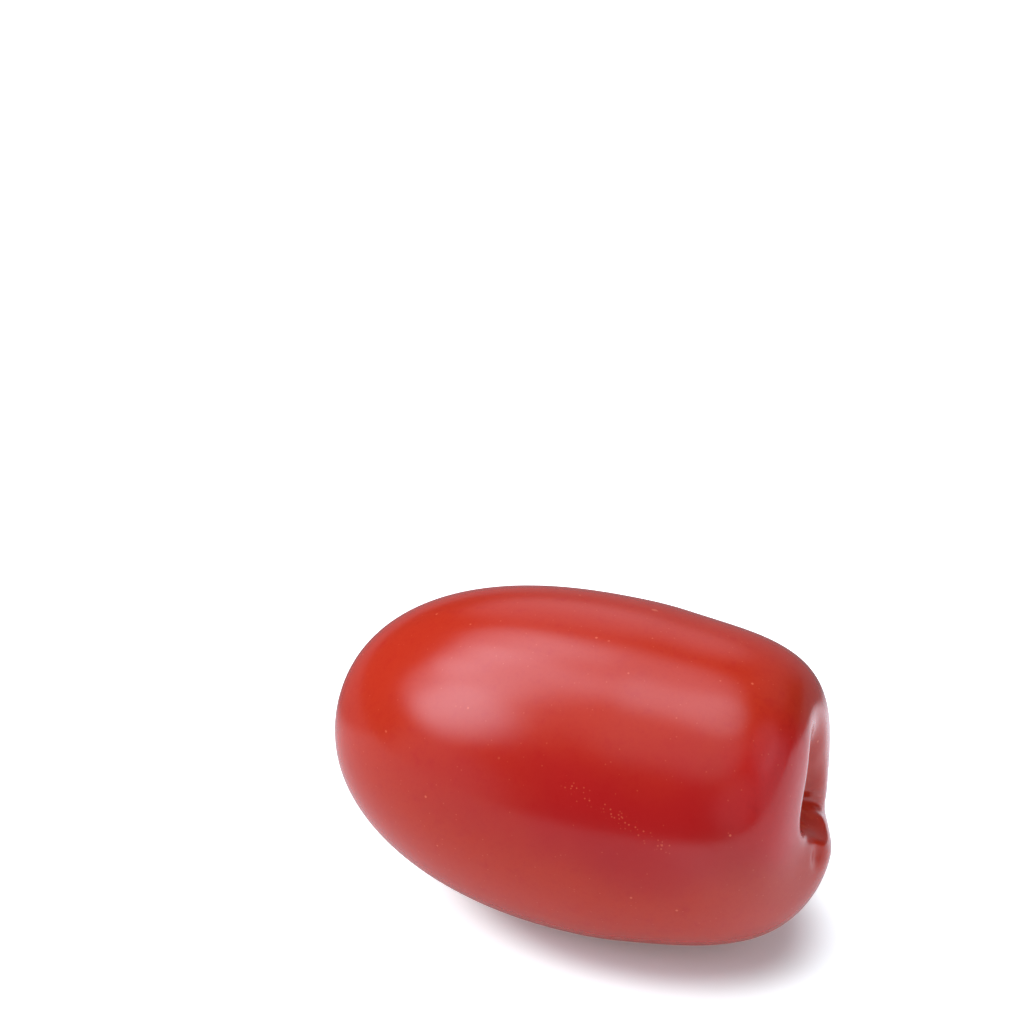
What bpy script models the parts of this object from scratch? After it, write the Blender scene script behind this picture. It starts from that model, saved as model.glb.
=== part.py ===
"""A plum tomato, picked without its green top and lying on its side.

The fruit grew as one piece, so it is one closed solid: the skin, the folded dimple at
the stem end, the corky scar where the stalk snapped off, and the small scar left by the
flower at the other end.

Metres, +Z up. The fruit lies along X with its stem end at +X, and the origin is the
middle of its footprint on the surface that it rests on. Angles round the fruit are
degrees from +Y, turning towards +Z, so that 90 is its top and 180 is its -Y side.
"""

import math

import bmesh
import bpy
import numpy as np
from mathutils import Vector

# Driving dimensions of the fruit
WIDTH = 0.0460
LENGTH_TO_WIDTH = 1.444
WIDEST_FROM_BLOSSOM = 0.573  # where the widest ring is, as a share of the length

HALF_WIDTH = WIDTH / 2
BLOSSOM_HALF = WIDTH * LENGTH_TO_WIDTH * WIDEST_FROM_BLOSSOM
STEM_HALF = WIDTH * LENGTH_TO_WIDTH * (1 - WIDEST_FROM_BLOSSOM)

# Roundness of the long outline: 2 is an ellipse, and more is blunter
BLOSSOM_BLUNT = 2.20
STEM_BLUNT = 3.33

# The middle line of the fruit bends towards this angle at both ends, more at the stem
BEND_TOWARDS = 97.0
BEND = 0.0028
BEND_TO_STEM = 0.0017

# The stem end has three lobes, and the lowest stands out past the other two
LOW_LOBE_ANGLE = 254.0
LOW_LOBE_HEIGHT = 0.0034
LOW_LOBE_SPREAD = 52.0  # degrees

# The dimple between the lobes
DIMPLE_DEPTH = 0.0048
DIMPLE_RADIUS = 0.0048
DIMPLE_WALL = 2.6  # how steep its wall is

# Partings between the lobes: (angle, share by which the dimple reaches further, spread)
PARTINGS = (
    (76.0, 0.70, 30.0),
    (228.0, -0.08, 22.0),
    (316.0, 0.45, 12.0),
)
# The shallowest parting has a groove of its own, a little outside the dimple
GROOVE_ANGLE = 226.0
GROOVE_FROM_MIDDLE = 0.0074
GROOVE_HALF_LENGTH = 0.0016
GROOVE_HALF_WIDTH = 0.0013
GROOVE_DEPTH = 0.0006

# Faint valleys that run from the partings along the fruit's side
VALLEY_DEPTH = 0.011  # as a share of the radius, at the stem end
VALLEY_SPREAD = 24.0  # degrees
VALLEY_LEFT = 0.2  # share of the depth that is left at the blossom end

# The corky scar of the stalk, on the dimple's floor
SCAR_RADIUS = 0.0027
SCAR_RIM = 0.00035
SCAR_PIT_RADIUS = 0.0009
SCAR_PIT_DEPTH = 0.0005

# The small scar of the flower, on the other end
TIP_RADIUS = 0.0010
TIP_HEIGHT = 0.0002

# The flat spot that the fruit has settled on
FLAT_DEPTH = 0.00025

# Mesh: points round each ring, and rings in each stretch from the stem to the tip
AROUND = 88
SCAR_RINGS = 7
DIMPLE_RINGS = 19
SIDE_RINGS = 24
TIP_RINGS = 5
SCAR_EDGE = math.asin(1.15 * SCAR_RADIUS / STEM_HALF)
DIMPLE_EDGE = math.radians(27)
TIP_EDGE = math.pi - math.asin(2.2 * TIP_RADIUS / BLOSSOM_HALF)

SKIN_COLOUR = (0.50, 0.022, 0.014, 1.0)
SKIN_ROUGHNESS = 0.28
SCAR_COLOUR = (0.50, 0.42, 0.22, 1.0)
SCAR_ROUGHNESS = 0.85


def clear_scene():
    for obj in list(bpy.data.objects):
        bpy.data.objects.remove(obj, do_unlink=True)


def smooth(start, end, value):
    """0 before start, 1 after end, and a smooth S between them."""
    t = np.clip((value - start) / (end - start), 0, 1)
    return t * t * (3 - 2 * t)


def hill(value, spread):
    """1 where the value is 0, falling off on both sides as a bell of this spread."""
    return np.exp(-((value / spread) ** 2))


def turn_from(degrees, angle):
    """How far an angle is turned from a direction, from minus to plus half a turn."""
    return (angle - math.radians(degrees) + math.pi) % (2 * math.pi) - math.pi


def round_the_fruit(points):
    """Each point's angle round X, and its distance from X."""
    y, z = points[..., 1], points[..., 2]
    return np.arctan2(z, y), np.hypot(y, z)


def ring_angles():
    """Angles from the stem pole to the blossom pole, closest where the shape is finest."""
    stretches = (
        (0, SCAR_EDGE, SCAR_RINGS),
        (SCAR_EDGE, DIMPLE_EDGE, DIMPLE_RINGS),
        (DIMPLE_EDGE, TIP_EDGE, SIDE_RINGS),
        (TIP_EDGE, math.pi, TIP_RINGS),
    )
    angles = [np.linspace(start, end, count, endpoint=False) for start, end, count in stretches]
    return np.append(np.concatenate(angles), math.pi)


def plain_body(polar, around):
    """A superellipse turned round X, blunter towards the stem. The power goes with the
    angle from the stem pole, and each end has its own half length."""
    x, side = np.cos(polar), np.sin(polar)
    blunt = BLOSSOM_BLUNT + (STEM_BLUNT - BLOSSOM_BLUNT) * smooth(0.23, 1.0, x)
    half_length = np.where(x > 0, STEM_HALF, BLOSSOM_HALF)
    reach = ((np.abs(x) / half_length) ** blunt + (side / HALF_WIDTH) ** blunt) ** (-1 / blunt)
    return np.stack(
        [reach * x, reach * side * np.cos(around), reach * side * np.sin(around)], axis=-1
    )


def add_valleys(points):
    """Draws the sides in along each parting's line, most at the stem end."""
    angle, _ = round_the_fruit(points)
    along = smooth(-BLOSSOM_HALF, 0.8 * STEM_HALF, points[..., 0])
    depth = VALLEY_DEPTH * (VALLEY_LEFT + (1 - VALLEY_LEFT) * along)
    for towards, *_ in PARTINGS:
        valley = hill(turn_from(towards, angle), math.radians(VALLEY_SPREAD))
        points[..., 1:] *= (1 - depth * valley)[..., None]


def dimple_depth(points):
    """How far the stem end is sunk: a bowl whose mouth reaches out into the partings and
    whose floor is level under the scar, and the groove in the shallowest parting."""
    angle, out = round_the_fruit(points)
    mouth = np.ones_like(out)
    for towards, further, spread in PARTINGS:
        mouth += further * hill(turn_from(towards, angle), math.radians(spread))
    past_scar = out * smooth(0, 1.3 * SCAR_RADIUS, out)
    bowl = DIMPLE_DEPTH * np.exp(-((past_scar / (DIMPLE_RADIUS * mouth)) ** DIMPLE_WALL))
    turn = turn_from(GROOVE_ANGLE, angle)
    along = out * np.cos(turn) - GROOVE_FROM_MIDDLE
    across = out * np.sin(turn)
    groove = GROOVE_DEPTH * hill(along, GROOVE_HALF_LENGTH) * hill(across, GROOVE_HALF_WIDTH)
    return np.where(points[..., 0] > 0, bowl + groove, 0)


def low_lobe_height(points):
    """How far the lowest lobe stands out, growing from the dimple's middle outwards."""
    angle, out = round_the_fruit(points)
    spread = hill(turn_from(LOW_LOBE_ANGLE, angle), math.radians(LOW_LOBE_SPREAD))
    shoulder = smooth(0.08, 0.26, out / HALF_WIDTH)
    return LOW_LOBE_HEIGHT * spread * shoulder * smooth(0, 0.8 * STEM_HALF, points[..., 0])


def bend(points):
    """Moves each ring sideways by the square and the cube of its distance from the middle."""
    t = points[..., 0] / BLOSSOM_HALF
    aside = BEND * t**2 + BEND_TO_STEM * t**3
    points[..., 1] += aside * math.cos(math.radians(BEND_TOWARDS))
    points[..., 2] += aside * math.sin(math.radians(BEND_TOWARDS))


def scar_relief(points):
    """The rim and the pit of the stalk's scar, and the flower's scar, both outwards."""
    _, out = round_the_fruit(points)
    rim = SCAR_RIM * hill(out - 0.8 * SCAR_RADIUS, 0.3 * SCAR_RADIUS)
    pit = SCAR_PIT_DEPTH * hill(out, SCAR_PIT_RADIUS)
    tip = TIP_HEIGHT * np.exp(-((out / TIP_RADIUS) ** 4))
    return np.where(points[..., 0] > 0, rim - pit, -tip)


def fruit_points():
    """Rings of points from pole to pole, as an array of rings, points and coordinates."""
    turns = np.linspace(0, 2 * math.pi, AROUND, endpoint=False)
    polar, around = np.meshgrid(ring_angles(), turns, indexing="ij")
    points = plain_body(polar, around)
    add_valleys(points)
    outwards = low_lobe_height(points) - dimple_depth(points) + scar_relief(points)
    points[..., 0] += outwards
    bend(points)
    return points


def skin_of(points):
    """Closes the rings into one surface, with a single point at each pole."""
    bm = bmesh.new()
    stem_pole = bm.verts.new(points[0].mean(axis=0))
    rings = [[bm.verts.new(point) for point in ring] for ring in points[1:-1]]
    tip_pole = bm.verts.new(points[-1].mean(axis=0))
    for i in range(AROUND):
        j = (i + 1) % AROUND
        bm.faces.new((stem_pole, rings[0][i], rings[0][j]))
        bm.faces.new((tip_pole, rings[-1][j], rings[-1][i]))
        for near, far in zip(rings, rings[1:]):
            bm.faces.new((near[i], far[i], far[j], near[j]))
    return bm


def settle(bm):
    """Cuts the flat spot that the fruit lies on, and puts the middle of its footprint at
    the origin."""
    flat = Vector((0, 0, min(v.co.z for v in bm.verts) + FLAT_DEPTH))
    everything = bm.verts[:] + bm.edges[:] + bm.faces[:]
    bmesh.ops.bisect_plane(
        bm, geom=everything, dist=1e-6, plane_co=flat, plane_no=(0, 0, -1), clear_outer=True
    )
    rim = [edge for edge in bm.edges if edge.is_boundary]
    bmesh.ops.contextual_create(bm, geom=rim)
    low = Vector(min(v.co[k] for v in bm.verts) for k in range(3))
    high = Vector(max(v.co[k] for v in bm.verts) for k in range(3))
    middle = (low + high) / 2
    bmesh.ops.translate(bm, verts=bm.verts, vec=Vector((-middle.x, -middle.y, -low.z)))


def material(name, colour, roughness):
    made = bpy.data.materials.new(name)
    made.use_nodes = True
    shader = made.node_tree.nodes["Principled BSDF"]
    shader.inputs["Base Color"].default_value = colour
    shader.inputs["Roughness"].default_value = roughness
    shader.inputs["Metallic"].default_value = 0.0
    return made


def paint_scars(bm, points):
    """Gives the faces of both scars the second material, before the fruit is settled."""
    stem_pole = Vector(points[0].mean(axis=0))
    tip_pole = Vector(points[-1].mean(axis=0))
    for face in bm.faces:
        middle = face.calc_center_median()
        on_stem_scar = (middle - stem_pole).length < SCAR_RADIUS
        on_tip_scar = (middle - tip_pole).length < TIP_RADIUS
        face.material_index = 1 if on_stem_scar or on_tip_scar else 0


def build_tomato():
    points = fruit_points()
    bm = skin_of(points)
    paint_scars(bm, points)
    settle(bm)
    bmesh.ops.recalc_face_normals(bm, faces=bm.faces)
    mesh = bpy.data.meshes.new("tomato")
    bm.to_mesh(mesh)
    bm.free()
    mesh.shade_smooth()
    mesh.materials.append(material("tomato_skin", SKIN_COLOUR, SKIN_ROUGHNESS))
    mesh.materials.append(material("corky_scar", SCAR_COLOUR, SCAR_ROUGHNESS))
    tomato = bpy.data.objects.new("tomato", mesh)
    bpy.context.scene.collection.objects.link(tomato)
    return tomato


clear_scene()
build_tomato()
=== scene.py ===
# %% [markdown]
# # A plum tomato on a white table
#
# The fruit was picked without its green top, so the corky scar of the stalk lies bare in
# the dimple of its stem end. Its CAD model is loaded first and stays where it is. It has
# the form and the size, and this script gives it the skin, the scars, the table and the
# light. Everything is in metres, with +Z up and the stem end at +X.

# %% Load the CAD model
import math

import bpy
import numpy as np
from mathutils import Matrix, Vector


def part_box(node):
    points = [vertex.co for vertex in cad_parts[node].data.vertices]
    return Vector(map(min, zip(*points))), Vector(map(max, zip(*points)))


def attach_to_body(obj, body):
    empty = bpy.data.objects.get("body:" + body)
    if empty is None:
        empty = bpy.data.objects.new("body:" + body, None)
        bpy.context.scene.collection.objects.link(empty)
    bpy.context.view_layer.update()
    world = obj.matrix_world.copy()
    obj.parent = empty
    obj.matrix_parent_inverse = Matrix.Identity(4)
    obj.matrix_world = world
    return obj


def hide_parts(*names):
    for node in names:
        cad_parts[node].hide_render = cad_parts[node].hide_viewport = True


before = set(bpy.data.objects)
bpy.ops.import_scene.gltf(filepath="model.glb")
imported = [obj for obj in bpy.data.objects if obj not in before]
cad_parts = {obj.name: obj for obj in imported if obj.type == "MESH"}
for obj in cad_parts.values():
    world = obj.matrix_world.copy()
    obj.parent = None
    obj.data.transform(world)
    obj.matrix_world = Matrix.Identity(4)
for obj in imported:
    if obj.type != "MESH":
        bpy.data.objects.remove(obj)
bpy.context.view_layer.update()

# %% [markdown]
# ## The form of the fruit
#
# A plum tomato is a barrel that is a little fatter towards the stem. A scanned or
# sculpted mesh could give that, but a formula is easier to change: a superellipse turned
# round X, where the power sets how blunt an end is. These are the same values and the
# same formula as in the CAD model, on a much finer grid, so that the skin's reflections
# run smoothly and the scar can have its small relief.

# %% Helpers for soft steps, bells and turns
def smooth(start, end, value):
    """0 before start, 1 after end, and a smooth S between them."""
    t = np.clip((value - start) / (end - start), 0, 1)
    return t * t * (3 - 2 * t)


def hill(value, spread):
    """1 where the value is 0, falling off on both sides as a bell of this spread."""
    return np.exp(-((value / spread) ** 2))


def turn_from(degrees, angle):
    """How far an angle is turned from a direction, from minus to plus half a turn."""
    return (angle - math.radians(degrees) + math.pi) % (2 * math.pi) - math.pi


# %% The barrel
WIDTH = 0.0460
LENGTH_TO_WIDTH = 1.444
WIDEST_FROM_BLOSSOM = 0.573  # where the widest ring is, as a share of the length
HALF_WIDTH = WIDTH / 2
BLOSSOM_HALF = WIDTH * LENGTH_TO_WIDTH * WIDEST_FROM_BLOSSOM
STEM_HALF = WIDTH * LENGTH_TO_WIDTH * (1 - WIDEST_FROM_BLOSSOM)
BLOSSOM_BLUNT = 2.20
STEM_BLUNT = 3.33
BLUNTER_FROM = 0.23  # the cosine at which the power starts to grow towards the stem


def barrel(polar, around):
    """A point on the skin for an angle from the stem pole and an angle round X. The
    distance from the middle is 1 over the blunt-power mean of the two directions, each
    measured in its own half length, so an end with a higher power is squarer."""
    x, side = np.cos(polar), np.sin(polar)
    blunt = BLOSSOM_BLUNT + (STEM_BLUNT - BLOSSOM_BLUNT) * smooth(BLUNTER_FROM, 1.0, x)
    half_length = np.where(x > 0, STEM_HALF, BLOSSOM_HALF)
    reach = ((np.abs(x) / half_length) ** blunt + (side / HALF_WIDTH) ** blunt) ** (-1 / blunt)
    return np.stack(
        [reach * x, reach * side * np.cos(around), reach * side * np.sin(around)], axis=-1
    )


# %% The valleys of the partings
# Each parting between two lobes: its angle in degrees from +Y towards +Z, the share by
# which the dimple reaches further there, and how wide that is in degrees
PARTINGS = ((76.0, 0.70, 30.0), (228.0, -0.08, 22.0), (316.0, 0.45, 12.0))
VALLEY_DEPTH = 0.011  # as a share of the radius, at the stem end
VALLEY_SPREAD = 24.0
VALLEY_LEFT = 0.2  # the share of the depth that is left at the blossom end
STEM_SHOULDER = 0.8 * STEM_HALF


def draw_in_valleys(points):
    """Each ring is pulled towards X by a bell round each parting's angle, and the bell
    deepens from the blossom end to the stem end."""
    angle = np.arctan2(points[..., 2], points[..., 1])
    along = smooth(-BLOSSOM_HALF, STEM_SHOULDER, points[..., 0])
    depth = VALLEY_DEPTH * (VALLEY_LEFT + (1 - VALLEY_LEFT) * along)
    for towards, *_ in PARTINGS:
        valley = hill(turn_from(towards, angle), math.radians(VALLEY_SPREAD))
        points[..., 1:] *= (1 - depth * valley)[..., None]


# %% [markdown]
# ## The stem end
#
# The fruit swells round its stalk as it grows, so the stalk ends up in a dimple, and the
# walls between the seed chambers pull the skin into folds that run out of it. Here the
# dimple is a bowl whose mouth reaches further out at each fold's angle. The shallowest
# fold has a short groove of its own just outside the mouth. One lobe stands out past the
# others, which makes the end slant.

# %% The dimple
SCAR_RADIUS = 0.0027
LEVEL_FLOOR = 1.3 * SCAR_RADIUS
DIMPLE_DEPTH = 0.0048
DIMPLE_RADIUS = 0.0048
DIMPLE_WALL = 2.6  # a higher power makes a steeper wall
GROOVE_ANGLE = 226.0
GROOVE_FROM_MIDDLE = 0.0074
GROOVE_HALF_LENGTH = 0.0016
GROOVE_HALF_WIDTH = 0.0013
GROOVE_DEPTH = 0.0006


def dimple_depth(angle, out):
    """A bowl that falls off with the distance from the middle to a power, where the
    mouth is wider at the partings and the floor is level under the scar. The groove is
    a bell along its direction times a bell across it."""
    mouth = np.ones_like(out)
    for towards, further, spread in PARTINGS:
        mouth += further * hill(turn_from(towards, angle), math.radians(spread))
    past_scar = out * smooth(0, LEVEL_FLOOR, out)
    bowl = DIMPLE_DEPTH * np.exp(-((past_scar / (DIMPLE_RADIUS * mouth)) ** DIMPLE_WALL))
    turn = turn_from(GROOVE_ANGLE, angle)
    along = out * np.cos(turn) - GROOVE_FROM_MIDDLE
    across = out * np.sin(turn)
    return bowl + GROOVE_DEPTH * hill(along, GROOVE_HALF_LENGTH) * hill(across, GROOVE_HALF_WIDTH)


# %% The lowest lobe
LOW_LOBE_ANGLE = 254.0
LOW_LOBE_HEIGHT = 0.0034
LOW_LOBE_SPREAD = 52.0
LOW_LOBE_RISE = (0.08, 0.26)  # where it rises, as shares of the half width


def low_lobe_height(x, angle, out):
    """A bell round the lobe's angle, times a soft step outwards from the middle, times a
    soft step from the widest ring to the stem end."""
    spread = hill(turn_from(LOW_LOBE_ANGLE, angle), math.radians(LOW_LOBE_SPREAD))
    return (
        LOW_LOBE_HEIGHT
        * spread
        * smooth(*LOW_LOBE_RISE, out / HALF_WIDTH)
        * smooth(0, STEM_SHOULDER, x)
    )


# %% [markdown]
# ## The two scars
#
# Where the stalk snapped off, a disc of cork is left: a torn rim a little proud of the
# skin, a pale floor, and round a small nub a ring of pits, which are the ends of the
# veins that fed the fruit. At the other end the flower left a dry point. Both are
# modelled as relief, because a picture of them would look flat from the side.

# %% The torn outline and the veins
VEINS = 5


def torn(angle, raggedness, phase):
    """1 plus a sum of waves round the outline, each finer wave smaller than the last."""
    waves = [np.cos(k * angle + phase * k * k) / k for k in range(2, 12)]
    return 1 + raggedness * sum(waves)


def vein_pits(angle, share):
    """Bells on a ring round the nub, which are deepest at the angles of the veins."""
    at_vein = 0.5 + 0.5 * np.cos(VEINS * angle + 0.9 * np.sin(angle + 0.6))
    return hill(share - 0.40, 0.13) * (0.25 + 0.75 * at_vein**2)


# %% The relief of the stalk's scar
SCAR_RIM = 0.00030
SCAR_NUB = 0.00032
SCAR_RING = 0.00050
SCAR_SPLIT = 0.00012


def stem_scar_relief(angle, share):
    """Outward height of the scar by its share of the torn radius: a rim, a sunken ring
    with the veins' pits, a nub in the middle, and a fine split outside the rim."""
    ripple = 0.7 + 0.3 * np.cos(7 * angle + 3 * np.sin(2 * angle))
    return (
        SCAR_RIM * ripple * hill(share - 0.84, 0.14)
        + SCAR_NUB * hill(share, 0.20)
        - SCAR_RING * vein_pits(angle, share)
        - SCAR_SPLIT * hill(share - 1.04, 0.06)
    )


# %% [markdown]
# ## Put the skin together
#
# The whole skin is one grid: rings from the stem pole to the blossom pole, and points
# round each ring. The rings lie close together where the form is finest, at the scars
# and in the dimple. After the relief, each ring is moved a little aside, which bends the
# fruit, and its underside is pressed flat where its weight rests on the table.

# %% The rings of points
AROUND = 360
TIP_RADIUS = 0.0010
RIM_START = math.asin(0.70 * SCAR_RADIUS / STEM_HALF)
SCAR_EDGE = math.asin(1.35 * SCAR_RADIUS / STEM_HALF)
DIMPLE_EDGE = math.radians(27)
TIP_EDGE = math.pi - math.asin(2.2 * TIP_RADIUS / BLOSSOM_HALF)
# Each stretch: its first and last angle from the stem pole, and its number of rings
STRETCHES = (
    (0, RIM_START, 24),
    (RIM_START, SCAR_EDGE, 34),
    (SCAR_EDGE, DIMPLE_EDGE, 62),
    (DIMPLE_EDGE, TIP_EDGE, 116),
    (TIP_EDGE, math.pi, 22),
)
polar_angles = np.concatenate(
    [np.linspace(start, end, count, endpoint=False) for start, end, count in STRETCHES]
)
polar_angles = np.append(polar_angles, math.pi)
turns = np.linspace(0, 2 * math.pi, AROUND, endpoint=False)
polar, around = np.meshgrid(polar_angles, turns, indexing="ij")
skin = barrel(polar, around)
draw_in_valleys(skin)
print("the skin is a grid of", skin.shape[0], "rings of", AROUND, "points")

# %% Sink the dimple and raise the scars
STEM_TEAR = (0.035, 1.7)  # how ragged the torn outline is, and the phase of its waves
TIP_TEAR = (0.09, 2.3)
TIP_HEIGHT = 0.0002
NO_SCAR = 99.0  # the share of the radius on the half without that scar

angle = np.arctan2(skin[..., 2], skin[..., 1])
out = np.hypot(skin[..., 1], skin[..., 2])
at_stem = skin[..., 0] > 0
stem_share = np.where(at_stem, out / (SCAR_RADIUS * torn(angle, *STEM_TEAR)), NO_SCAR)
tip_share = np.where(at_stem, NO_SCAR, out / (TIP_RADIUS * torn(angle, *TIP_TEAR)))
outwards = np.where(
    at_stem,
    low_lobe_height(skin[..., 0], angle, out)
    - dimple_depth(angle, out)
    + stem_scar_relief(angle, stem_share),
    -TIP_HEIGHT * np.exp(-(tip_share**4)),
)
pits = np.where(at_stem, vein_pits(angle, stem_share), 0.0)
skin[..., 0] += outwards
print("the dimple is", round(1000 * float(-outwards.min()), 1), "mm deep with its pits")

# %% Bend the fruit and press it on the table
# The middle line bends towards this angle at both ends, and more at the stem
BEND_TOWARDS = math.radians(97.0)
BEND = 0.0028
BEND_TO_STEM = 0.0017
FLAT_DEPTH = 0.00025
PRESS_SOFTNESS = 0.00004

t = skin[..., 0] / BLOSSOM_HALF
bent = BEND * t**2 + BEND_TO_STEM * t**3
skin[..., 1] += bent * math.cos(BEND_TOWARDS)
skin[..., 2] += bent * math.sin(BEND_TOWARDS)
# A soft maximum: the height above the flat, rounded off over the softness
above = (skin[..., 2] - skin[..., 2].min() - FLAT_DEPTH) / PRESS_SOFTNESS
skin[..., 2] = PRESS_SOFTNESS * np.logaddexp(0, above)

# %% Fit it to the CAD model's box
node_low, node_high = (np.array(corner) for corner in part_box("tomato"))
low, high = skin.min(axis=(0, 1)), skin.max(axis=(0, 1))
skin = node_low + (skin - low) * (node_high - node_low) / (high - low)
print("each side was scaled by", np.round((node_high - node_low) / (high - low), 4))


# %% Turn the rings into a closed mesh
def closed_mesh(name, rings):
    """Squares join each ring to the next, and a fan of triangles closes each end on a
    single point. The order of the corners turns every face outwards."""
    count, around = rings.shape[:2]
    inner = rings[1:-1].reshape(-1, 3)
    vertices = np.vstack([rings[0].mean(axis=0), inner, rings[-1].mean(axis=0)])
    row = 1 + np.arange(count - 2)[:, None] * around
    here = np.arange(around)
    there = np.roll(here, -1)
    near, far = row[:-1], row[1:]
    quads = np.stack([near + here, far + here, far + there, near + there], axis=-1)
    first, last = row[0] + here, row[-1] + here
    pole = np.zeros_like(here)
    stem_fan = np.stack([pole, first, np.roll(first, -1)], axis=-1)
    tip_fan = np.stack([pole + len(vertices) - 1, np.roll(last, -1), last], axis=-1)
    mesh = bpy.data.meshes.new(name)
    faces = quads.reshape(-1, 4).tolist() + stem_fan.tolist() + tip_fan.tolist()
    mesh.from_pydata(vertices.tolist(), [], faces)
    mesh.validate()
    mesh.shade_smooth()
    return mesh


# %% The tomato and the numbers that its mesh carries
LARGEST_SHARE = 12  # past this a scar's finish sees no difference


def attach(mesh, name, values):
    """Stores one number for each vertex, which a material can read by this name."""
    flat = np.concatenate([[values[0].mean()], values[1:-1].ravel(), [values[-1].mean()]])
    made = mesh.attributes.new(name, "FLOAT", "POINT")
    made.data.foreach_set("value", flat.astype(np.float32))


skin_mesh = closed_mesh("tomato_skin", skin)
attach(skin_mesh, "stem_scar_share", np.minimum(stem_share, LARGEST_SHARE))
attach(skin_mesh, "flower_scar_share", np.minimum(tip_share, LARGEST_SHARE))
attach(skin_mesh, "vein_pits", pits)
tomato = bpy.data.objects.new("plum_tomato", skin_mesh)
bpy.context.scene.collection.objects.link(tomato)
print("the skin has", sum(len(p.vertices) - 2 for p in skin_mesh.polygons), "triangles")


# %% [markdown]
# ## A class for shader sums
#
# A finish is a chain of nodes, and a long chain is easier to read as a formula. This
# class wraps one socket. Adding, multiplying or subtracting it adds the Math node that
# does so, and every other node comes from its method `node`.

# %% The class
class Wire:
    """A socket of a node tree. Sums of it make Math nodes, and node() makes the rest."""

    def __init__(self, tree, socket=None):
        self.tree, self.socket = tree, socket

    def node(self, kind, settings=None, sockets=None, out=0):
        """Adds a node, sets its settings first, then gives its sockets their values or
        links, and returns one of its outputs."""
        made = self.tree.nodes.new("ShaderNode" + kind)
        for name, value in (settings or {}).items():
            setattr(made, name, value)
        for name, value in (sockets or {}).items():
            if isinstance(value, Wire):
                self.tree.links.new(value.socket, made.inputs[name])
            else:
                made.inputs[name].default_value = value
        return Wire(self.tree, made.outputs[out])

    def math(self, operation, first, second=0.0):
        """A Math node, which works on numbers."""
        return self.node("Math", {"operation": operation}, {0: first, 1: second})

    def vector(self, operation, first, second=(0, 0, 0), out="Vector"):
        """A Vector Math node. Its lengths and dot products come out as "Value"."""
        return self.node("VectorMath", {"operation": operation}, {0: first, 1: second}, out)

    def __add__(self, other):
        return self.math("ADD", self, other)

    __radd__ = __add__

    def __mul__(self, other):
        return self.math("MULTIPLY", self, other)

    __rmul__ = __mul__

    def __sub__(self, other):
        return self.math("SUBTRACT", self, other)

    def __rsub__(self, other):
        return self.math("SUBTRACT", other, self)

    def step(self, start, end):
        """0 at start, 1 at end, and a smooth S between them, whichever is larger."""
        turned = start > end
        sockets = {"Value": self, "From Min": min(start, end), "From Max": max(start, end)}
        risen = self.node("MapRange", {"interpolation_type": "SMOOTHSTEP"}, sockets)
        return 1 - risen if turned else risen

    def over(self, below, above):
        """A mix of two colours by this wire: below where it is 0, above where it is 1.
        The Mix node numbers its two colour sockets 6 and 7, and its colour output 2."""
        return self.node("Mix", {"data_type": "RGBA"}, {0: self, 6: below, 7: above}, out=2)


def finish_of(name):
    """A new material and its shader node, with a wire to start from."""
    made = bpy.data.materials.new(name)
    made.use_nodes = True
    return made, made.node_tree.nodes["Principled BSDF"], Wire(made.node_tree)


# %% [markdown]
# ## The skin
#
# A ripe tomato isn't one red. The flesh under the clear skin ripens unevenly, so crimson
# and orange-red drift into each other. This fruit is ripest in one long patch on its near
# side. Its shoulder at the stem end is a purer red, and it is also painted lighter: painted
# light in place of light from that side. An image texture could carry these colours, but
# it would need a picture of every side. Here the colours are mixed by the distance from a
# place and by noise of several sizes, both from the Object coordinates. Those are metres,
# so noise of scale 70 has about 70 clouds in a metre.

# %% Where a point is on the fruit
skin_finish, skin_shader, wire = finish_of("tomato_skin")
place = wire.node("TexCoord", out="Object")


def noise(scale, detail=2.0, roughness=0.5):
    """Cloudy noise from 0 to 1, with this many clouds in a metre."""
    sockets = {"Vector": place, "Scale": scale, "Detail": detail, "Roughness": roughness}
    return wire.node("TexNoise", sockets=sockets)


# %% From crimson to orange-red
CRIMSON = (0.372, 0.0112, 0.0100, 1)
ORANGE_RED = (0.425, 0.0260, 0.0085, 1)
RIPEST_AT = (0.0140, -0.0220, 0.0318)
RIPEST_REACH = (0.031, 0.017, 0.0095)
RIPEST_FADE = (0.25, 1.35)  # in reaches, where the crimson starts and ends its fade
DRIFT = 1.1

per_reach = tuple(1 / reach for reach in RIPEST_REACH)
from_ripest = wire.vector("SUBTRACT", place, RIPEST_AT)
from_ripest = wire.vector("MULTIPLY", from_ripest, per_reach)
from_ripest = wire.vector("LENGTH", from_ripest, out="Value")
drift = (noise(70, 3.0) - 0.5) * DRIFT
reds = (from_ripest + drift).step(*RIPEST_FADE).over(CRIMSON, ORANGE_RED)

# %% The shoulder, a purer red with painted light
# A purer red that is also lighter than the other reds: painted light on the stem end's shoulder,
# standing in for light from that side
SHOULDER_RED_PAINTED_LIGHTER = (0.475, 0.0110, 0.0092, 1)
PAINTED_LIGHT_SHOULDER_AT = (0.0335, -0.0100, 0.0340)
PAINTED_LIGHT_SHOULDER_REACH = 0.014
PAINTED_LIGHT_SHOULDER_FADE = (1.0, 0.4)
PAINTED_LIGHT_SHOULDER_DRIFT = 0.4

on_painted_light_shoulder = wire.vector("DISTANCE", place, PAINTED_LIGHT_SHOULDER_AT, "Value")
on_painted_light_shoulder = on_painted_light_shoulder * (1 / PAINTED_LIGHT_SHOULDER_REACH) + drift * PAINTED_LIGHT_SHOULDER_DRIFT
reds = on_painted_light_shoulder.step(*PAINTED_LIGHT_SHOULDER_FADE).over(reds, SHOULDER_RED_PAINTED_LIGHTER)

# %% Darker mottling and grain
DEEP_RED = (0.350, 0.0065, 0.0065, 1)
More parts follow.
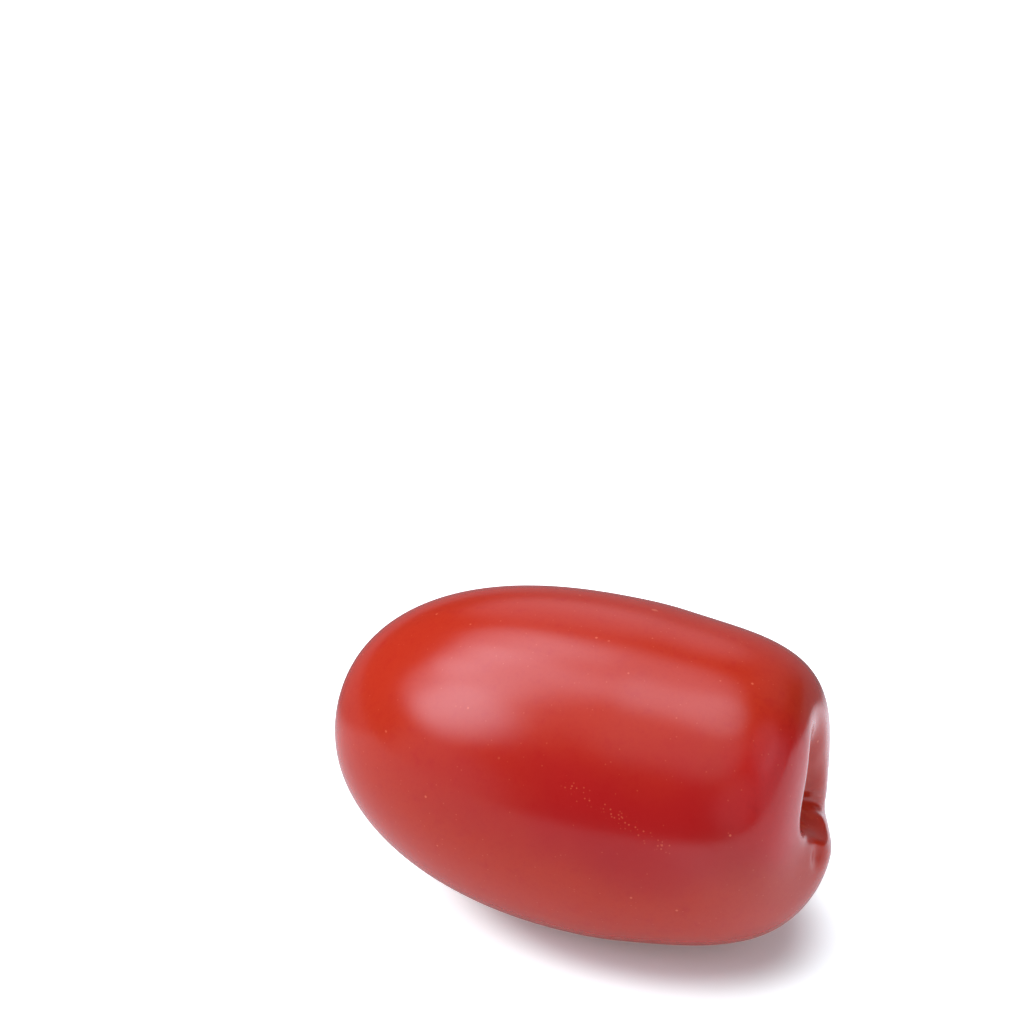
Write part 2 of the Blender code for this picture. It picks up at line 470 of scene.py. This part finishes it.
# Each layer: clouds in a metre, detail, where in the noise it fades in, and its strength
DARKER = ((420, 4.0, (0.52, 0.80), 0.35), (1700, 2.0, (0.42, 0.80), 0.22))

for clouds, detail, limits, strength in DARKER:
    layer = noise(clouds, detail, 0.6).step(*limits) * strength
    reds = layer.over(reds, DEEP_RED)

# %% [markdown]
# ## Flecks in the skin
#
# Small pale flecks of cork sit in the skin, mostly as single dots, and on this fruit a
# thin trail of them runs slantwise across the front. Painting each dot by hand would
# take long. A Voronoi texture cuts space into cells instead, and the distance to a
# cell's point makes a dot in each. Each cell also has a random colour, so only the cells
# above a limit show their dot.

# %% Pale dots
FLECK = (0.62, 0.11, 0.055, 1)
# Each kind: cells in a metre, the share that shows a dot, its size in cells, and strength
DOTS = ((520, 0.10, 0.12, 0.8), (1500, 0.16, 0.20, 0.35))


def dots(cells, share, size):
    """1 on dots of this size, in cells, that show in this share of the cells."""
    sockets = {"Vector": place, "Scale": cells}
    distance = wire.node("TexVoronoi", sockets=sockets, out="Distance")
    colour = wire.node("TexVoronoi", sockets=sockets, out="Color")
    chance = wire.node("SeparateColor", sockets={"Color": colour})
    return distance.step(size, size * 0.45) * chance.step(1 - share, 1.02 - share)


for cells, share, size, strength in DOTS:
    reds = (dots(cells, share, size) * strength).over(reds, FLECK)

# %% The slanting trail of dots
TRAIL_START = Vector((0.0035, -0.0191, 0.0354))
TRAIL_END = Vector((0.0178, -0.0207, 0.0293))
TRAIL_HALF_WIDTH = 0.0013
TRAIL_TAPER = (-0.0010, 0.0005)  # it starts before its end, and is whole a little inside
TRAIL_DOTS = (2000, 0.75, 0.32)
TRAIL_STRENGTH = 0.55

trail_length = (TRAIL_END - TRAIL_START).length
trail_way = (TRAIL_END - TRAIL_START) / trail_length
from_start = wire.vector("SUBTRACT", place, TRAIL_START)
down_trail = wire.vector("DOT_PRODUCT", from_start, trail_way, "Value")
foot = wire.node("VectorMath", {"operation": "SCALE"}, {0: trail_way, "Scale": down_trail})
off_trail = wire.vector("DISTANCE", from_start, foot, "Value")
on_trail = off_trail.step(TRAIL_HALF_WIDTH, TRAIL_HALF_WIDTH * 0.3)
on_trail = on_trail * down_trail.step(*TRAIL_TAPER)
on_trail = on_trail * down_trail.step(*(trail_length - taper for taper in TRAIL_TAPER))
reds = (dots(*TRAIL_DOTS) * on_trail * TRAIL_STRENGTH).over(reds, FLECK)
print("the trail of dots is", round(1000 * trail_length, 1), "mm long")

# %% Single marks
# Each mark: where it is, and its radius
MARKS = (
    ((0.0067, 0.0083, 0.0439), 0.00055),
    ((0.0036, -0.0020, 0.0456), 0.00022),
    ((0.0087, 0.0006, 0.0454), 0.00018),
    ((-0.0228, -0.0148, 0.0333), 0.00022),
    ((-0.0037, 0.0083, 0.0438), 0.00022),
    ((0.0168, -0.0207, 0.0298), 0.00024),
)
MARK_RAGGED = 1.2
MARK_STRENGTH = 0.6

for where, radius in MARKS:
    away = wire.vector("DISTANCE", place, where, "Value")
    away = away + (noise(3000) - 0.5) * radius * MARK_RAGGED
    reds = (away.step(radius, radius * 0.4) * MARK_STRENGTH).over(reds, FLECK)

# %% [markdown]
# ## Cork
#
# Cork is dead tissue, so it is matt and pale. The mesh carries each point's share of the
# torn radius, and the finish reads it: a brown line where the skin tore, a peach rim, a
# pale green floor and olive pits. A material of its own would end at whole faces, while
# a mask that the mesh carries follows the tear as finely as its noise does.

# %% The masks of the scars
def carried(name):
    """A number that the mesh carries for each vertex."""
    return wire.node("Attribute", {"attribute_name": name}, out="Fac")


scar_share = carried("stem_scar_share") + (noise(1800, 3.0) - 0.5) * 0.10
flower_share = carried("flower_scar_share") + (noise(2600, 3.0) - 0.5) * 0.3
pit_mask = carried("vein_pits").step(0.25, 0.85)
scar_mask = scar_share.step(1.02, 0.96)
tear_mask = scar_share.step(0.94, 1.0) * scar_share.step(1.12, 1.03)
flower_mask = flower_share.step(1.05, 0.8)

# %% The colours of the scars
CORK_FLOOR = (0.62, 0.60, 0.34, 1)
CORK_TAN = (0.60, 0.36, 0.17, 1)
CORK_PEACH = (0.72, 0.42, 0.24, 1)
CORK_NUB = (0.78, 0.80, 0.50, 1)
PIT_OLIVE = (0.16, 0.14, 0.045, 1)
TEAR_BROWN = (0.19, 0.055, 0.02, 1)
HALO_PEACH = (0.62, 0.12, 0.05, 1)
TEAR_STRENGTH = 0.85
HALO_STRENGTH = 0.5

# The steps of the share run from the nub in the middle, over the rim, to the halo outside
cork = noise(2600, 3.0, 0.6).step(0.35, 0.7).over(CORK_FLOOR, CORK_TAN)
cork = scar_share.step(0.62, 0.86).over(cork, CORK_PEACH)
cork = scar_share.step(0.26, 0.14).over(cork, CORK_NUB)
cork = pit_mask.over(cork, PIT_OLIVE)
halo = scar_share.step(2.0, 1.0) * noise(900).step(0.35, 0.75) * HALO_STRENGTH
reds = halo.over(reds, HALO_PEACH)
reds = scar_mask.over(reds, cork)
reds = (tear_mask * TEAR_STRENGTH).over(reds, TEAR_BROWN)
flower_cork = noise(3200, 3.0).step(0.35, 0.7).over(CORK_TAN, TEAR_BROWN)
reds = flower_mask.over(reds, flower_cork)

# %% [markdown]
# ## Gloss and fine relief
#
# The skin is waxy and mirrors the windows, but not sharply, so its roughness is low and
# varies a little. Cork scatters all light. Both have a relief too fine for the mesh: the
# skin's cells, and the crumbs of the cork. A Bump node tilts the light for them.

# %% Roughness and bump
SKIN_ROUGHNESS = 0.19
ROUGHNESS_DRIFT = 0.05
CORK_ROUGHNESS = 0.85
SKIN_IOR = 1.40
CELL_HEIGHT = 0.30
CRUMB_HEIGHT = 2.5
BUMP_DISTANCE = 0.00003

all_cork = scar_mask.math("MAXIMUM", scar_mask, flower_mask)
roughness = (noise(700, 3.0) - 0.5) * ROUGHNESS_DRIFT + SKIN_ROUGHNESS
roughness = roughness + all_cork * (CORK_ROUGHNESS - SKIN_ROUGHNESS)
skin_cells = noise(2600, 2.0, 0.6) * CELL_HEIGHT
crumbs = noise(5000, 4.0, 0.7) * all_cork * CRUMB_HEIGHT
relief = skin_cells * (1 - all_cork) + crumbs
sockets = {"Strength": 1.0, "Distance": BUMP_DISTANCE, "Height": relief}
normal = wire.node("Bump", sockets=sockets, out="Normal")

# %% Put the finish on the skin
skin_shader.inputs["IOR"].default_value = SKIN_IOR
for socket, value in (("Base Color", reds), ("Roughness", roughness), ("Normal", normal)):
    wire.tree.links.new(value.socket, skin_shader.inputs[socket])
tomato.data.materials.append(skin_finish)
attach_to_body(tomato, "root")
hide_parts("tomato")
print("the skin's finish has", len(wire.tree.nodes), "nodes")

# %% [markdown]
# ## The table
#
# The fruit lies on a white table in strong light, so the picture's white is past its
# limit and only the shade close to the fruit is grey. More light would burn out the
# fruit too. So the table glows a little, more so outside an oval round the fruit and for
# the camera's rays alone. A Light Path node tells the rays apart. It also dims the table
# for mirrored rays: a little in front, and much at the far left, where the room is dim,
# which keeps the fruit's upper edge a deep red.

# %% The table's sheet
TABLE_HALF = 0.6

table_mesh = bpy.data.meshes.new("table")
corners = [(-1, -1), (1, -1), (1, 1), (-1, 1)]
corners = [(TABLE_HALF * x, TABLE_HALF * y, 0) for x, y in corners]
table_mesh.from_pydata(corners, [], [(0, 1, 2, 3)])
table = bpy.data.objects.new("table", table_mesh)
bpy.context.scene.collection.objects.link(table)
print("the table is", 2 * TABLE_HALF, "m wide")

# %% How much of the table a mirrored ray sees
MIRRORED_FRONT = 0.55
MIRRORED_FAR = 0.12
FAR_LEFT = (-0.4, 1, 0)
FAR_FADE = (0.035, 0.058)
FRONT_FADE = (0.045, 0.010)

table_finish, table_shader, table_wire = finish_of("white_table")
spot = table_wire.node("TexCoord", out="Object")
x_place = table_wire.node("SeparateXYZ", sockets={"Vector": spot}, out="X")
far = table_wire.vector("DOT_PRODUCT", spot, FAR_LEFT, "Value").step(*FAR_FADE)
front = (1 - far) * x_place.step(*FRONT_FADE)
mirrored = table_wire.node("LightPath", out="Is Glossy Ray")
shown = 1 - mirrored * (far * (1 - MIRRORED_FAR) + front * (1 - MIRRORED_FRONT))

# %% The glow outside the oval
GLOW_NEAR = 0.12
GLOW_FAR = 0.47
OVAL_MIDDLE = (0.009, -0.001, 0.0)
OVAL_HALF = (0.037, 0.022)
OVAL_FADE = (0.53, 0.82)

per_oval = (1 / OVAL_HALF[0], 1 / OVAL_HALF[1], 0)
from_oval = table_wire.vector("SUBTRACT", spot, OVAL_MIDDLE)
from_oval = table_wire.vector("MULTIPLY", from_oval, per_oval)
from_oval = table_wire.vector("LENGTH", from_oval, out="Value")
by_camera = table_wire.node("LightPath", out="Is Camera Ray")
glow = (from_oval.step(*OVAL_FADE) * by_camera * GLOW_FAR + GLOW_NEAR) * shown

# %% The table's finish
TABLE_WHITE = (0.95, 0.94, 0.91, 1)
TABLE_ROUGHNESS = 0.75
GLOW_TONE = (0.82, 0.97, 0.94, 1)
BLACK = (0, 0, 0, 1)

base = shown.over(BLACK, TABLE_WHITE)
emission = glow.over(BLACK, GLOW_TONE)
for socket, tone in (("Base Color", base), ("Emission Color", emission)):
    table_wire.tree.links.new(tone.socket, table_shader.inputs[socket])
table_shader.inputs["Emission Strength"].default_value = 1.0
table_shader.inputs["Roughness"].default_value = TABLE_ROUGHNESS
table_mesh.materials.append(table_finish)

# %% [markdown]
# ## The light
#
# Two wide soft windows are mirrored in the skin: a tall one on the left, whose
# reflection fills the left shoulder, and one almost overhead. Round them the room is
# dim, with some light from its walls. Area lamps could stand for the windows, but their
# edges would be sharp in a glossy skin. So each window is a few soft discs painted on
# the world, whose strength falls off over a wide edge. Their places and strengths were
# fitted to the shading of the fruit. The camera itself sees plain white round the table.

# %% The room's panes of light
# Each pane: degrees to the right and to the back from straight up, half width, brightness
PANES = (
    (-42, -28, 14.3, 4.20),
    (-42, -13, 17.9, 2.60),
    (-38, 12, 9.5, 1.70),
    (-30, 0, 15.2, 2.90),
    (-27, 26, 11.6, 2.40),
    (-9, 17, 19.2, 1.95),
    (7, 4, 13.9, 2.25),
    (9, -22, 20.9, 0.95),
    (-60, -62, 18.0, 0.70),
    (50, -50, 18.0, 0.55),
    (52, 2, 16.0, 0.70),
    (80, 0, 20.0, 0.70),
    (-20, 62, 14.0, 0.64),
    (28, 48, 14.0, 0.20),
    (0, 80, 20.0, 0.20),
)
PANE_EDGE = (1.5, 0.5)  # dark outside the first and full inside the second, in half widths
DIM_ROOM = 0.03

room = bpy.data.worlds.new("room")
room.use_nodes = True
room_wire = Wire(room.node_tree)
towards = room_wire.node("TexCoord", out="Generated")
light = DIM_ROOM
for rightwards, backwards, half_width, brightness in PANES:
    from_top = math.hypot(rightwards, backwards)
    level = math.sin(math.radians(from_top)) / from_top
    way = (level * rightwards, level * backwards, math.cos(math.radians(from_top)))
    nearness = room_wire.vector("DOT_PRODUCT", towards, way, "Value")
    edge = [math.cos(math.radians(half_width * part)) for part in PANE_EDGE]
    light = light + nearness.step(*edge) * brightness
print("the room has", len(PANES), "panes of light")

# %% Light the scene with the room
DAYLIGHT = (0.98, 1.0, 1.17, 1)
WHITE = (1, 1, 1, 1)

seen = room_wire.node("LightPath", out="Is Camera Ray")
light = light * (1 - seen) + seen
tint = seen.over(DAYLIGHT, WHITE)
background = room.node_tree.nodes["Background"]
room.node_tree.links.new(light.socket, background.inputs["Strength"])
room.node_tree.links.new(tint.socket, background.inputs["Color"])
bpy.context.scene.world = room
bpy.context.scene.view_settings.view_transform = "Standard"

# %% [markdown]
# ## The camera
#
# The camera looks down at the table from the front, turned a little towards the stem
# end. It could be placed by eye, but fitting the outline of the fruit gave its angles,
# and its place follows from where the middle of the fruit shows in the picture.

# %% The camera's directions
TURNED = math.radians(18.9)
DOWN = math.radians(35.6)

cos_turned, sin_turned = math.cos(TURNED), math.sin(TURNED)
cos_down, sin_down = math.cos(DOWN), math.sin(DOWN)
right = Vector((cos_turned, sin_turned, 0))
up = Vector((-sin_turned * sin_down, cos_turned * sin_down, cos_down))
back = Vector((sin_turned * cos_down, -cos_turned * cos_down, sin_down))

# %% Aim the camera
VIEW_ANGLE = math.radians(18.5)
DISTANCE = 0.4250
PICTURE = 1024
SEEN_AT = (585.0, 762.0)  # the pixel where the middle of the fruit shows
MIDDLE = Vector((0, 0, 0.0225))

focal = PICTURE / 2 / math.tan(VIEW_ANGLE / 2)
across, down = ((pixel - PICTURE / 2) / focal for pixel in SEEN_AT)
ray = (right * across - up * down - back).normalized()
lens = bpy.data.cameras.new("camera")
lens.sensor_width = 36
lens.angle = VIEW_ANGLE
lens.clip_start, lens.clip_end = 0.01, 50
camera = bpy.data.objects.new("camera", lens)
turn = Matrix((right, up, back)).transposed().to_4x4()
camera.matrix_world = Matrix.Translation(MIDDLE - ray * DISTANCE) @ turn
bpy.context.scene.collection.objects.link(camera)
bpy.context.scene.camera = camera
print("the camera is at", [round(c, 3) for c in camera.matrix_world.translation])
